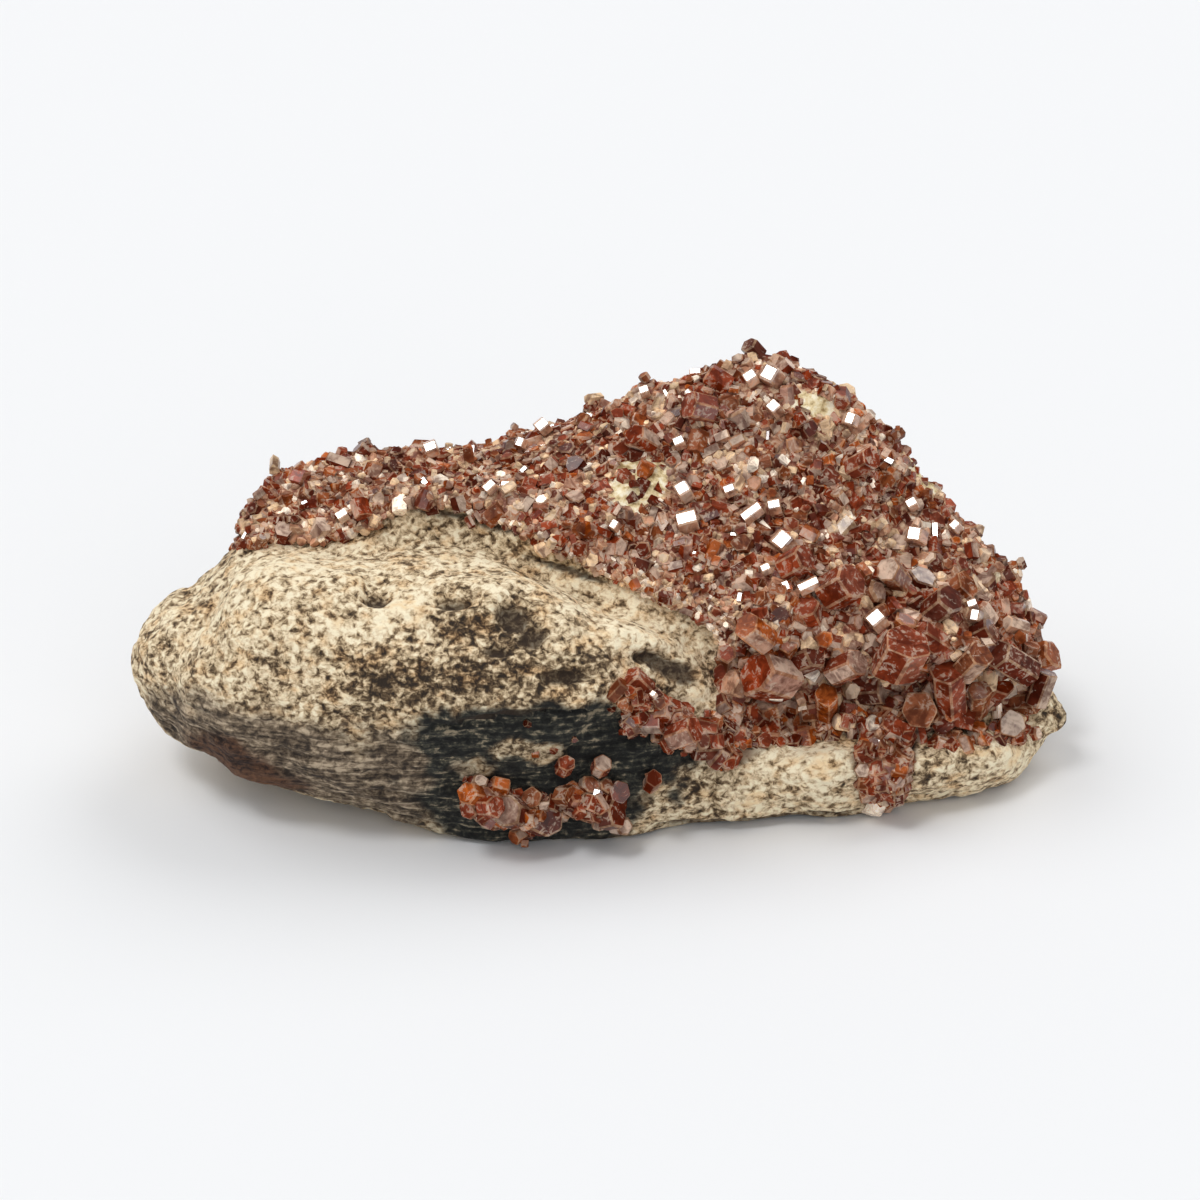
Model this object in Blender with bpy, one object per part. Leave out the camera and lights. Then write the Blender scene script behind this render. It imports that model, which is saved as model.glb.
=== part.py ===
"""Vanadinite on its host rock: a pale, speckled hand specimen, 94 mm wide, whose sloping top carries a
crust of small six-sided crystals. Coarser crystals fill the recess under the crust's right half, and two
clusters and a few single crystals stand on the rock's front.

The rock is a loft. Thirteen feature lines run along X from the left tip to the right one, such as the
ridge, the brow and the foot, and each station is the closed profile through all of them. The crystal
pieces follow that surface.
X runs to the right, Y away from the viewer and Z up. The rock rests on a flat face at Z = 0.
"""

import math
import random

import bmesh
import bpy
import numpy as np
from mathutils import Matrix, Vector, noise
from mathutils.bvhtree import BVHTree

MM = 0.001
BOX_MIDDLE = Vector((0.0, 22.6, 0.0))  # the middle of the finished part's box, which is moved to the origin

# Feature lines of the bare rock, as (x, y, z) in millimetres, in their order round a station.
LINES = {
    "ridge": [(-44.5, 19, 16.2), (-40, 20, 19), (-36, 25, 22.5), (-32.5, 28, 26), (-29, 30, 28),
              (-23, 32, 27), (-7, 35, 27.5), (0, 36, 29.5), (7, 36, 33), (14, 36, 35), (20, 36, 34.8),
              (25, 35, 34), (29, 33, 30), (33, 30, 25), (37, 28, 21), (40, 26, 18.5), (42, 24.5, 14.2),
              (43.6, 22.8, 10.3), (45, 21, 7.4)],
    "slope": [(-44, 16.8, 17), (-39.5, 17, 19.5), (-36, 22, 23.5), (-29, 25.5, 26.5), (-15, 28, 27),
              (0, 25, 28.5), (8, 24, 28), (20, 24, 26.5), (25, 24, 24.5), (32, 24, 20), (39.5, 22, 15.5),
              (42.3, 21, 11.5), (45, 19.5, 7.4)],
    "brow": [(-44, 14.5, 17.2), (-39.5, 14, 19.8), (-35.5, 20, 23), (-24, 21, 24.5), (-20, 22, 27),
             (-15, 22, 27), (-7, 18.5, 25), (0, 15.5, 22.5), (8, 12.5, 20), (14, 11, 18.5),
             (24.5, 11, 17.5), (36.5, 12.5, 15), (40, 14, 13), (42.5, 16, 9.5), (45, 18, 7)],
    "shelf": [(-44, 12.6, 16.6), (-39.5, 12.5, 18.5), (-35.5, 18, 22.5), (-24, 20, 24), (-15, 22, 25.5),
              (-7, 18.5, 23.5), (0, 15, 21.5), (8, 12, 19), (14, 12.5, 14), (20, 13.5, 10.5), (28.5, 14.5, 9),
              (37, 15, 9), (42, 16.5, 7.5), (45, 17.1, 6.7)],
    "shoulder": [(-44, 10.8, 15.5), (-39, 9.5, 18.5), (-35, 10.5, 23.5), (-29, 9, 24), (-14.5, 8, 25.5),
                 (-7, 7.5, 25.5), (0, 8, 23.5), (8, 8.5, 19), (14, 10, 11), (20, 9.5, 8), (24.5, 9, 8.5),
                 (28.5, 12.5, 5.5), (31.5, 10, 7.5), (42, 13.5, 6.5), (45, 16.5, 6)],
    "belly": [(-44, 10, 13.6), (-39, 6.5, 17.5), (-35, 4.5, 18.5), (-29, 2.5, 20), (-14.5, 1, 21),
              (-7, 1.5, 21.5), (0, 3, 20), (8, 6.5, 15), (14, 6, 8), (24.5, 5.5, 8.5), (28.5, 9.5, 4.5),
              (31.5, 7, 7), (36.5, 8.5, 7), (41.5, 11, 6), (45, 16.1, 5.1)],
    "chin": [(-44, 10.4, 9.2), (-39.5, 7.5, 12), (-35.5, 4.5, 10.5), (-22.5, 2, 9.5), (-7, 1.5, 8.5),
             (0, 2, 8), (8, 4, 5.5), (14, 5, 3.5), (24.5, 5.5, 3.5), (28.5, 8.5, 2.5), (31.5, 7.5, 4),
             (42, 12.5, 3), (45, 16.5, 4)],
    "foot": [(-44.5, 12.6, 5.8), (-39.5, 11, 6), (-35.5, 8, 5), (-29.5, 6.5, 3.5), (-22.5, 5.5, 2.4),
             (-15, 4.2, 0.5), (0, 3, 0), (8, 5.6, 0.3), (25, 7, 0), (32, 10.8, 0), (42, 15, 1),
             (45, 17.5, 3)],
    "sole_front": [(-44, 16, 4.9), (-36, 13, 4), (-22, 12, 0.5), (-12, 10, -1), (14, 12, -1), (32, 15, -1),
                   (41.5, 18, 0), (45, 19, 2.5)],
    "sole_back": [(-44, 20.4, 5.4), (-36, 24, 4.5), (-22, 32, 0.5), (-12, 36, -1), (14, 40, -1), (32, 34, -1),
                  (41.5, 25, 0.5), (45, 20.6, 2.8)],
    "heel": [(-44, 22.8, 9), (-36, 29, 8), (-22, 37, 4), (-7, 43, 3.5), (14, 45.5, 4), (30, 40, 4),
             (41.5, 29, 4), (45, 22, 3.9)],
    "back": [(-44, 23.2, 12), (-36, 31, 13.5), (-22, 40, 13), (-7, 46, 13), (14, 48, 15), (30, 43, 12),
             (41.5, 31, 8.5), (45, 22.6, 5.4)],
    "nape": [(-44, 22.3, 15), (-36, 29, 18.5), (-22, 38, 21), (-7, 42, 22), (14, 43.5, 27.5), (30, 37.5, 20),
             (38, 31.5, 14.5), (41.5, 27.5, 10.5), (45, 22, 6.6)],
}
LEFT_TIP, RIGHT_TIP = -46.6, 47.2
LEFT_ROUNDED_FROM, RIGHT_ROUNDED_FROM = -41.0, 44.5
STATIONS, STATION_CROWDING = 35, 0.35
STEPS = (4, 4, 2, 4, 4, 4, 2, 2, 4, 3, 4, 4, 2)  # rows of faces from each line to the next
POINT_REACH, CRUST_REACH = 0.15, 1.2  # feature lines over which a direction outward is evened out

# Broken faces: each plane (normal, distance from the origin in mm) chops off what stands beyond it.
BREAKS = [((-0.55, 0.75, 0.35), 47.6), ((0.15, 0.93, -0.35), 40.0), ((0.62, 0.72, 0.3), 49.3),
          ((-0.25, 0.7, 0.67), 45.5), ((-0.35, 0.5, -0.79), 21.3)]
LUMPS = [(14.0, 1.1), (6.0, 0.7)]  # (wavelength, height) of the rock's swells, in mm

# Places that the front view settles are given as that view shows them, in millimetres to the right of its
# middle and above it. It looks at the middle from EYE, 30 degrees above the horizon.
MIDDLE = Vector((0, 22, 16.7))
TO_EYE = Vector((0, -math.cos(math.radians(30)), math.sin(math.radians(30))))
EYE = MIDDLE + TO_EYE * 600
VIEW_UP = Vector((0, TO_EYE.z, -TO_EYE.y))

GAP = 0.3  # between the rock and what grows on it
CRUST_DEPTH = 0.3  # how far the untrimmed crust reaches into the rock, as a share of the way to its core

# The crust runs from behind the ridge to an edge past the brow. A place on the rock is (x, t), where t counts
# feature lines, so that 0 is the ridge, 2 the brow and 4 the shoulder.
CRUST_FROM, CRUST_TO = -35.4, 43.6
CRUST_BACK = [(-35.4, 0.2), (-32, -0.1), (-24, -0.45), (-12, -0.3), (0, -0.55), (12, -0.35), (22, -0.6),
              (30, -0.35), (38, -0.5), (43.6, -0.2)]
CRUST_FRONT = [(-35.4, 1.9), (-30, 2.1), (-24, 2.0), (-20, 2.0), (-7, 2.0), (0, 2.05), (8, 2.2), (12.5, 2.8),
               (16, 3.5), (25, 3.8), (34, 3.8), (38, 3.4), (41, 2.7), (43.6, 2.3)]
CRUST_THICKNESS = [(-35.4, 1.8), (-20, 1.9), (12, 1.9), (20, 2.0), (34, 2.0), (39, 1.5), (43.6, 1.3)]
CRUST_STATIONS, CRUST_CROWDING, CRUST_ROWS = 25, 0.3, 11
CRUST_MARGIN = 0.8  # in from the crust's ends, where no small crystal stands

# Coarse crystals of the crust as the front view shows them: right, up, radius, length, and how far each
# one leans to the right and to the viewer, in degrees.
COARSE = [(30.0, -5.5, 2.8, 4.6, 0, 35), (17.2, -7.7, 2.8, 4.6, -25, 45), (24.6, -6.8, 1.7, 3.6, 10, 40),
          (31.8, -11.0, 2.1, 4.2, -5, 60), (34.8, -9.0, 1.8, 5.4, 5, 15), (37.7, -10.2, 1.4, 4.0, 0, 20),
          (41.0, -6.3, 1.6, 5.4, -30, 10), (43.6, -8.6, 1.3, 3.4, 25, 20), (42.0, -10.4, 1.5, 3.4, 20, 60),
          (40.8, -12.4, 1.6, 3.2, 10, 45), (37.2, -6.4, 1.7, 4.0, 15, 25), (24.0, 1.4, 2.1, 3.6, 20, 20),
          (29.3, 2.4, 1.6, 3.0, -10, 15), (19.5, 3.8, 1.9, 3.2, 15, 30), (15.7, -3.2, 1.8, 3.4, -20, 30),
          (22.6, -10.2, 1.5, 3.6, 0, 15), (17.1, -10.8, 1.7, 3.4, -15, 50), (13.6, -8.6, 1.7, 3.4, -30, 50),
          (34.0, -0.5, 1.9, 3.4, 25, 20), (10.0, 19.3, 1.9, 3.2, -10, 10), (26.3, 13.6, 1.8, 3.2, 20, 25),
          (4.2, 16.0, 1.7, 3.0, -15, 20)]
COARSE_ROOM = 1.2  # kept free round a coarse crystal
SMALL_CRYSTALS, SMALL_RADIUS, SMALL_SPACING = 60, (0.95, 1.5), 3.5
CRUST_SEED = 9  # of the small crystals' places and sizes
STUBBINESS = (1.7, 2.4)  # a crystal's length over its radius
SLANT = 0.8  # the most that a crystal's axis strays from the way out of the surface, as a share
BEVEL = 0.3  # of a bevelled crystal's radius

# The cleft in the lower ledge is filled by a lump of the crust. A lump is (right, up) in the front view and
# its half sizes along X, outward and along the rock's face.
SEAM = ((28.3, -15.6), (2.6, 2.4, 5.6))
SEAM_CRYSTALS = [(27.6, -13.4, 1.7), (29.9, -14.6, 1.6), (27.3, -16.4, 1.6), (29.4, -17.8, 1.5),
                 (27.6, -18.8, 1.3)]

CLUSTERS = {
    "front_cluster": {"lumps": [((3.8, -10.2), (2.9, 1.7, 2.9)), ((7.0, -12.6), (3.2, 1.9, 2.8)),
                                ((10.8, -14.6), (2.9, 1.5, 2.0))], "crystals": 12},
    "foot_cluster": {"lumps": [((-11.4, -19.4), (3.4, 1.8, 2.0)), ((-6.4, -20.6), (4.0, 2.2, 2.6)),
                               ((-0.8, -19.8), (4.0, 2.4, 2.8))], "crystals": 15},
}
CLUSTER_RADIUS = (0.95, 1.7)
CLUSTER_FALL = 0.7  # how far a lump's crystals sink towards its rim, as a share of its height
SINGLE_CRYSTALS = [(-3.4, -16.0, 0.9), (0.0, -16.2, 0.8), (4.9, -17.6, 1.0)]  # right, up and radius
SINGLE_HEIGHT = 0.7  # of a single crystal's middle above the rock

ROCK_COLOUR = (0.58, 0.49, 0.36, 1.0)
CRYSTAL_COLOUR = (0.22, 0.045, 0.02, 1.0)


def hermite(x0, x1, y0, y1, slope0, slope1, x):
    """The cubic from y0 at x0 to y1 at x1 that has these slopes there."""
    h = x1 - x0
    s = (x - x0) / h
    return (y0 * (1 + 2 * s) * (1 - s) ** 2 + slope0 * h * s * (1 - s) ** 2
            + y1 * s * s * (3 - 2 * s) + slope1 * h * s * s * (s - 1))


def smooth_line(points, x):
    """The smooth curve at x through points, which are (x, value, ...) in order; x is held to their range."""
    points = np.array(points, float)
    xs, values = points[:, 0], points[:, 1:]
    x = min(max(x, xs[0]), xs[-1])
    steps = np.diff(values, axis=0) / np.diff(xs)[:, None]
    slopes = np.vstack([steps[:1], (steps[1:] + steps[:-1]) / 2, steps[-1:]])
    k = min(int(np.searchsorted(xs, x, side="right")) - 1, len(xs) - 2)
    return hermite(xs[k], xs[k + 1], values[k], values[k + 1], slopes[k], slopes[k + 1], x)


def profile(x):
    """The feature lines' points on the station at x, drawn together where a tip is rounded off."""
    points = np.array([[x, *smooth_line(line, x)] for line in LINES.values()])
    tip, start = (LEFT_TIP, LEFT_ROUNDED_FROM) if x < 0 else (RIGHT_TIP, RIGHT_ROUNDED_FROM)
    past = (x - start) / (tip - start)
    if past > 0:
        middle = points.mean(axis=0)
        points = middle + (points - middle) * math.sqrt(max(0.0, 1 - past * past))
    return points


def on_profile(points, t):
    """The point at t on the closed smooth curve through a station's points."""
    count = len(points)
    k = math.floor(t)
    before, start, end, after = (points[(k + i) % count] for i in (-1, 0, 1, 2))
    lengths = [max(np.linalg.norm(b - a), 1e-6) for a, b in ((before, start), (start, end), (end, after))]
    slopes = [(start - before) / lengths[0], (end - start) / lengths[1], (after - end) / lengths[2]]
    slope0 = (slopes[0] * lengths[1] + slopes[1] * lengths[0]) / (lengths[0] + lengths[1])
    slope1 = (slopes[1] * lengths[2] + slopes[2] * lengths[1]) / (lengths[1] + lengths[2])
    return hermite(0, lengths[1], start, end, slope0, slope1, (t - k) * lengths[1])


def outward(x, t, reach=POINT_REACH):
    """The direction straight out of the smooth loft, evened out over reach about (x, t)."""
    span = 6 * reach
    low, high = max(x - span, LEFT_ROUNDED_FROM), min(x + span, RIGHT_ROUNDED_FROM)
    along = on_profile(profile(high), t) - on_profile(profile(low), t)
    middle = profile(min(max(x, LEFT_ROUNDED_FROM), RIGHT_ROUNDED_FROM))
    across = on_profile(middle, t + reach) - on_profile(middle, t - reach)
    return Vector(np.cross(across, along)).normalized()


def weathered(point, normal):
    """A point of the smooth loft moved to where the rock's lumps and breaks leave its surface."""
    point = Vector(point)
    for wavelength, height in LUMPS:
        point += normal * noise.noise(point / wavelength) * height
    for direction, distance in BREAKS:
        direction = Vector(direction).normalized()
        point -= direction * max(0.0, point.dot(direction) - distance)
    return point


def on_rock(x, t):
    """The rock's surface at (x, t), and its outward direction there, in millimetres."""
    normal = outward(x, t)
    return weathered(on_profile(profile(x), t), normal), normal


def stations(count, low, high, crowding):
    """Places along X that crowd towards both ends by the share crowding."""
    s = np.linspace(-1, 1, count)
    s = (1 - crowding) * s + crowding * np.sin(s * math.pi / 2)
    return (low + high) / 2 + s * (high - low) / 2


def new_object(name, bm, material, helper=False):
    """Makes an object from a bmesh that is in millimetres. A helper is only a Boolean's operand."""
    bmesh.ops.translate(bm, vec=-BOX_MIDDLE, verts=bm.verts)
    bmesh.ops.scale(bm, vec=(MM, MM, MM), verts=bm.verts)
    bmesh.ops.recalc_face_normals(bm, faces=bm.faces)
    mesh = bpy.data.meshes.new(name)
    bm.to_mesh(mesh)
    bm.free()
    obj = bpy.data.objects.new(name, mesh)
    bpy.context.scene.collection.objects.link(obj)
    if material:
        mesh.materials.append(material)
    if helper:
        obj.hide_render = True
        obj.display_type = "WIRE"
    return obj


def loft(rings):
    """A closed bmesh through rings of points, with a fan at each end."""
    bm = bmesh.new()
    rows = [[bm.verts.new(p) for p in ring] for ring in rings]
    count = len(rows[0])
    for a, b in zip(rows, rows[1:]):
        for i in range(count):
            j = (i + 1) % count
            bm.faces.new((a[i], a[j], b[j], b[i]))
    for row in (rows[0], rows[-1]):
        middle = bm.verts.new(sum((v.co for v in row), Vector()) / count)
        for i in range(count):
            bm.faces.new((row[i], row[(i + 1) % count], middle))
    bmesh.ops.triangulate(bm, faces=bm.faces)
    return bm


def rock_mesh(grown=0.0):
    """The whole rock, its surface moved outward by grown."""
    places = [k + i / steps for k, steps in enumerate(STEPS) for i in range(steps)]
    rings = []
    for x in stations(STATIONS, LEFT_TIP + 0.1, RIGHT_TIP - 0.1, STATION_CROWDING):
        ring = []
        for t in places:
            point, normal = on_rock(x, t)
            ring.append(point + normal * grown)
        rings.append(ring)
    return loft(rings)


def make_matrix(material):
    """The rock, cut flat at Z = 0 where it rests."""
    bm = rock_mesh()
    cut = bmesh.ops.bisect_plane(bm, geom=bm.verts[:] + bm.edges[:] + bm.faces[:], plane_co=(0, 0, 0),
                                 plane_no=(0, 0, -1), clear_outer=True)
    rim = [e for e in cut["geom_cut"] if isinstance(e, bmesh.types.BMEdge)]
    bmesh.ops.contextual_create(bm, geom=rim)
    return new_object("matrix", bm, material)


def seen(right, up, *surfaces):
    """Where the front view's sight line at (right, up) meets the first of these surfaces that it meets.

    Also gives the way out of the surface there.
    """
    aim = MIDDLE + Vector((right, 0, 0)) + VIEW_UP * up
    hits = [surface.ray_cast(EYE, (aim - EYE).normalized()) for surface in surfaces]
    return next((point, normal) for point, normal, _, _ in hits if point)


def add_crystal(bm, centre, axis, radius, length, turn, bevelled):
    """A hexagonal prism about centre, along axis, with its upper edge bevelled if asked."""
    bevel = BEVEL * radius if bevelled else 0.0
    pose = Matrix.Translation(centre) @ axis.to_track_quat("Z", "Y").to_matrix().to_4x4()
    pose = pose @ Matrix.Rotation(turn, 4, "Z")
    made = bmesh.ops.create_cone(bm, cap_ends=True, cap_tris=False, segments=6, radius1=radius,
                                 radius2=radius, depth=length - bevel, matrix=pose)
    if bevelled:
        ends = {face for vert in made["verts"] for face in vert.link_faces if len(face.verts) == 6}
        top = max(ends, key=lambda face: face.calc_center_median().dot(axis))
        bmesh.ops.inset_individual(bm, faces=[top], thickness=bevel, depth=bevel * 0.8)


def leaned(normal, right, forward):
    """Halfway from normal to the upright that leans right and to the viewer by these angles in degrees."""
    upright = Vector((math.tan(math.radians(right)), -math.tan(math.radians(forward)), 1.0))
    return (normal + upright.normalized()).normalized()


def scattered(rng, normal):
    """normal tipped at random."""
    tip = Vector((rng.gauss(0, 1), rng.gauss(0, 1), rng.gauss(0, 1))).normalized()
    return (normal + tip * rng.uniform(0, SLANT)).normalized()


def add_lump(bm, point, normal, sizes):
    """An ellipsoid about a point of the rock, with half sizes along X, outward and along the face."""
    side = Vector((1, 0, 0))
    side = (side - normal * side.dot(normal)).normalized()
    face = normal.cross(side)
    axes = Matrix((side * sizes[0], normal * sizes[1], face * sizes[2])).transposed()
    pose = Matrix.Translation(point) @ axes.to_4x4()
    bmesh.ops.create_icosphere(bm, subdivisions=1, radius=1.0, matrix=pose)


def slab_mesh():
    """The crust's bed: a shell over the rock's top, whose inner side lies within the rock."""
    rings = []
    for x in stations(CRUST_STATIONS, CRUST_FROM, CRUST_TO, CRUST_CROWDING):
        back, front = float(smooth_line(CRUST_BACK, x)[0]), float(smooth_line(CRUST_FRONT, x)[0])
        thick = float(smooth_line(CRUST_THICKNESS, x)[0])
        core = Vector(profile(x).mean(axis=0))
        outer, inner = [], []
        for t in np.linspace(back, front, CRUST_ROWS):
            point = on_rock(x, t)[0]
            outer.append(point + outward(x, t, CRUST_REACH) * thick)
            inner.append(point.lerp(core, CRUST_DEPTH))
        rings.append(outer + inner[::-1])
    return loft(rings)


def crust_crystals(rng, slab, rock):
    """All the crystals of the crust, coarse and small, in one bmesh."""
    bm = bmesh.new()
    taken = []
    for right, up, radius, length, lean_right, lean_forward in COARSE:
        point, normal = seen(right, up, slab, rock)
        taken.append((point, radius + COARSE_ROOM))
        axis = leaned(normal, lean_right, lean_forward)
        add_crystal(bm, point, axis, radius, length, rng.uniform(0, 1), True)
    while len(taken) < len(COARSE) + SMALL_CRYSTALS:
        x = rng.uniform(CRUST_FROM + CRUST_MARGIN, CRUST_TO - CRUST_MARGIN)
        t = rng.uniform(float(smooth_line(CRUST_BACK, x)[0]), float(smooth_line(CRUST_FRONT, x)[0]))
        point, normal, _, _ = slab.find_nearest(on_rock(x, t)[0] + outward(x, t) * SMALL_SPACING)
        if all((point - other).length > room for other, room in taken):
            taken.append((point, SMALL_SPACING))
            radius = rng.uniform(*SMALL_RADIUS)
            add_crystal(bm, point, scattered(rng, normal), radius, radius * rng.uniform(*STUBBINESS),
                        rng.uniform(0, 1), False)
    return bm


def trimmed(obj, rock_cutter, crystals=None):
    """Joins crystals to obj, cuts away what lies in the rock or its gap, and drops the chips this frees."""
    if crystals:
        join = obj.modifiers.new("crystals", "BOOLEAN")
        join.operation = "UNION"
        join.object = crystals
        join.use_self = True
    cut = obj.modifiers.new("rock", "BOOLEAN")
    cut.operation = "DIFFERENCE"
    cut.object = rock_cutter
    bm = bmesh.new()
    bm.from_object(obj, bpy.context.evaluated_depsgraph_get())
    obj.modifiers.clear()
    if crystals:
        bpy.data.objects.remove(crystals)
    bmesh.ops.triangulate(bm, faces=bm.faces)
    islands = []
    left = set(bm.verts)
    while left:
        island = [left.pop()]
        for vert in island:
            near = {edge.other_vert(vert) for edge in vert.link_edges} & left
            left -= near
            island.extend(near)
        islands.append(island)
    islands.sort(key=len)
    for chip in islands[:-1]:
        bmesh.ops.delete(bm, geom=chip, context="VERTS")
    bm.to_mesh(obj.data)
    bm.free()
    return obj


def make_crust(material, rock, rock_cutter):
    """The vanadinite crust over the top, with every crystal that touches it."""
    rng = random.Random(CRUST_SEED)
    slab = slab_mesh()
    slab_surface = BVHTree.FromBMesh(slab)
    crystals = crust_crystals(rng, slab_surface, rock)
    place, sizes = SEAM
    add_lump(crystals, *seen(*place, rock), sizes)
    for right, up, radius in SEAM_CRYSTALS:
        point, normal = seen(right, up, rock)
        add_crystal(crystals, point + normal * sizes[1], scattered(rng, normal), radius,
                    radius * rng.uniform(*STUBBINESS), rng.uniform(0, 1), True)
    crystals = new_object("crust_crystals", crystals, None, helper=True)
    return trimmed(new_object("vanadinite_crust", slab, material), rock_cutter, crystals)


def make_cluster(name, lumps, count, material, rock, rock_cutter):
    """A knot of crystals that grew on the rock's front."""
    rng = random.Random(name)
    body, extra = bmesh.new(), bmesh.new()
    for k, (place, sizes) in enumerate(lumps):
        add_lump(extra if k else body, *seen(*place, rock), sizes)
    for k in range(count):
        (right, up), (wide, out, tall) = lumps[k % len(lumps)]
        turn = rng.uniform(0, math.tau)
        share = math.sqrt(rng.random())
        point, normal = seen(right + math.cos(turn) * wide * share, up + math.sin(turn) * tall * share, rock)
        height = out * (1 - CLUSTER_FALL * share * share)
        radius = rng.uniform(*CLUSTER_RADIUS)
        add_crystal(extra, point + normal * height, scattered(rng, normal), radius,
                    radius * rng.uniform(*STUBBINESS), rng.uniform(0, 1), k % 2 == 0)
    crystals = new_object(name + "_crystals", extra, None, helper=True)
    return trimmed(new_object(name, body, material), rock_cutter, crystals)


def make_single(name, right, up, radius, material, rock, rock_cutter):
    """One crystal that stands by itself."""
    rng = random.Random(name)
    point, normal = seen(right, up, rock)
    bm = bmesh.new()
    add_crystal(bm, point + normal * SINGLE_HEIGHT, scattered(rng, normal), radius, radius * max(STUBBINESS),
                rng.uniform(0, 1), True)
    return trimmed(new_object(name, bm, material), rock_cutter)


def new_material(name, colour, roughness):
    """A Principled material of one colour."""
    material = bpy.data.materials.new(name)
    material.use_nodes = True
    shader = material.node_tree.nodes["Principled BSDF"]
    shader.inputs["Base Color"].default_value = colour
    shader.inputs["Roughness"].default_value = roughness
    shader.inputs["Metallic"].default_value = 0.0
    return material


def main():
    for obj in list(bpy.data.objects):
        bpy.data.objects.remove(obj)
    stone = new_material("host_rock", ROCK_COLOUR, 0.9)
    vanadinite = new_material("vanadinite", CRYSTAL_COLOUR, 0.25)
    make_matrix(stone)
    rock = BVHTree.FromBMesh(rock_mesh())
    rock_cutter = new_object("rock_cutter", rock_mesh(GAP), None, helper=True)
    make_crust(vanadinite, rock, rock_cutter)
    for name, cluster in CLUSTERS.items():
        make_cluster(name, cluster["lumps"], cluster["crystals"], vanadinite, rock, rock_cutter)
    for k, place in enumerate(SINGLE_CRYSTALS, start=1):
        make_single(f"single_crystal_{k}", *place, vanadinite, rock, rock_cutter)
    bpy.data.objects.remove(rock_cutter)


main()
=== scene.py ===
"""Vanadinite in matrix, dressed: the weathered rock, and the crystals that grow on it.

Lengths are in millimetres until a mesh is made. A place in the front view is (right, up): millimetres to the
right of the view's middle and above it, as the camera sees the specimen at its own distance.
"""

import math

import bpy
import numpy as np
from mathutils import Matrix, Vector
from mathutils.bvhtree import BVHTree
from mathutils.kdtree import KDTree


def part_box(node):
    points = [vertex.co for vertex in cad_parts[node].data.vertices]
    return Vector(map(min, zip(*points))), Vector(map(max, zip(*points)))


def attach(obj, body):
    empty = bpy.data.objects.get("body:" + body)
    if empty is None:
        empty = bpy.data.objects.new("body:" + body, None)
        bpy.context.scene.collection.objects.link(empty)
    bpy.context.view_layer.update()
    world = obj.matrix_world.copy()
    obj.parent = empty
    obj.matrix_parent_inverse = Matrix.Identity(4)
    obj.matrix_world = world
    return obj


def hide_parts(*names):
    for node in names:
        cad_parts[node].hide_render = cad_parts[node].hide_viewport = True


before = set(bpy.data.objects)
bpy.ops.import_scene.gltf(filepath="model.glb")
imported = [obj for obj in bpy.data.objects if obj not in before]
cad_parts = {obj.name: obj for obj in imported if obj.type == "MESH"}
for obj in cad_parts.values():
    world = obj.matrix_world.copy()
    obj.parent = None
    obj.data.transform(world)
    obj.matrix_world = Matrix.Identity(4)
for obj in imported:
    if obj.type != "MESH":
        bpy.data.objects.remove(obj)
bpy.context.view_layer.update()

MM = 0.001
BODY = "root"

# The front view looks at TARGET from 30 degrees above the horizon.
TARGET = Vector((0.0, -0.6, 16.7))
ELEVATION = math.radians(30)
DISTANCE = 600.0
TO_EYE = Vector((0.0, -math.cos(ELEVATION), math.sin(ELEVATION)))
VIEW_UP = Vector((0.0, math.sin(ELEVATION), math.cos(ELEVATION)))
EYE = TARGET + TO_EYE * DISTANCE
SENSOR, LENS = 36.0, 180.0

TO_KEY = Vector((-0.32, -0.30, 0.90)).normalized()  # towards the key light
# The way towards each light, its breadth in degrees and its strength. The brightest crystal faces mirror the
# first one.
LIGHTS = [(TO_KEY, 15, 0.75), (Vector((-0.6, 0.1, 0.8)), 46, 0.8), (Vector((0.5, 0.45, 0.74)), 46, 0.8),
          (Vector((0.25, -0.75, 0.6)), 46, 0.45)]
SKY_STRENGTH = 0.41
GLINT = (TO_KEY + TO_EYE).normalized()  # a face turned this way mirrors the key light to the camera
EYEWARD, GLINTWARD = np.array(TO_EYE), np.array(GLINT)
FLOOR_HALF, FLOOR_LEVEL = 3.0, -0.00005  # metres
FLOOR_PAINT = (0.845, 0.855, 0.87, 1.0)

VOXEL = 0.4  # the spacing of the rock's mesh and of the beds' meshes
BED_ROOTED = 0.35  # how far a bed's ground reaches towards the rock past its solid's inner side
CLEARANCE = 0.1  # between the crystals and the floor
ROCK_SMOOTHING = 24  # rounds
# The beds' rounds of smoothing, how far their ground lies below their solids, and how far their crystals lean.
DRUSE_SMOOTHING, DRUSE_SUNK, DRUSE_SPREAD = 14, 0.95, 3.0
CLUSTER_SMOOTHING, CLUSTER_SUNK, CLUSTER_SPREAD = 12, 0.7, 2.0

SEED = 11
# The first seed of each noise. A layered one takes the seeds after it too.
STREAK_NOISE, SWELL_NOISE, GRAIN_NOISE, RAGGED_NOISE, PATCH_NOISE = 10, 20, 30, 50, 52
LUMP_NOISE, FINE_LUMP_NOISE, LIGHT_NOISE, BACK_SLATE_NOISE, BACK_BROWN_NOISE = 70, 75, 80, 90, 95


def srgb(red, green, blue):
    """The linear colour of an 8-bit screen colour."""
    return np.array([(c / 255 + 0.055) ** 2.4 / 1.055 ** 2.4 if c > 10 else c / 255 / 12.92
                     for c in (red, green, blue)])


# Tones of the crystals.
DEEP, RED, BROWN = srgb(84, 26, 8), srgb(122, 44, 14), srgb(124, 64, 32)
ORANGE, ROSE, TAN = srgb(156, 74, 20), srgb(178, 130, 102), srgb(220, 188, 150)
PALE = srgb(250, 236, 216)
SHEEN_TONE = srgb(202, 180, 160)  # painted sheen: the pale reflection that some faces show
TONES = {"deep": DEEP, "red": RED, "brown": BROWN, "orange": ORANGE, "rose": ROSE, "tan": TAN}

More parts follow.
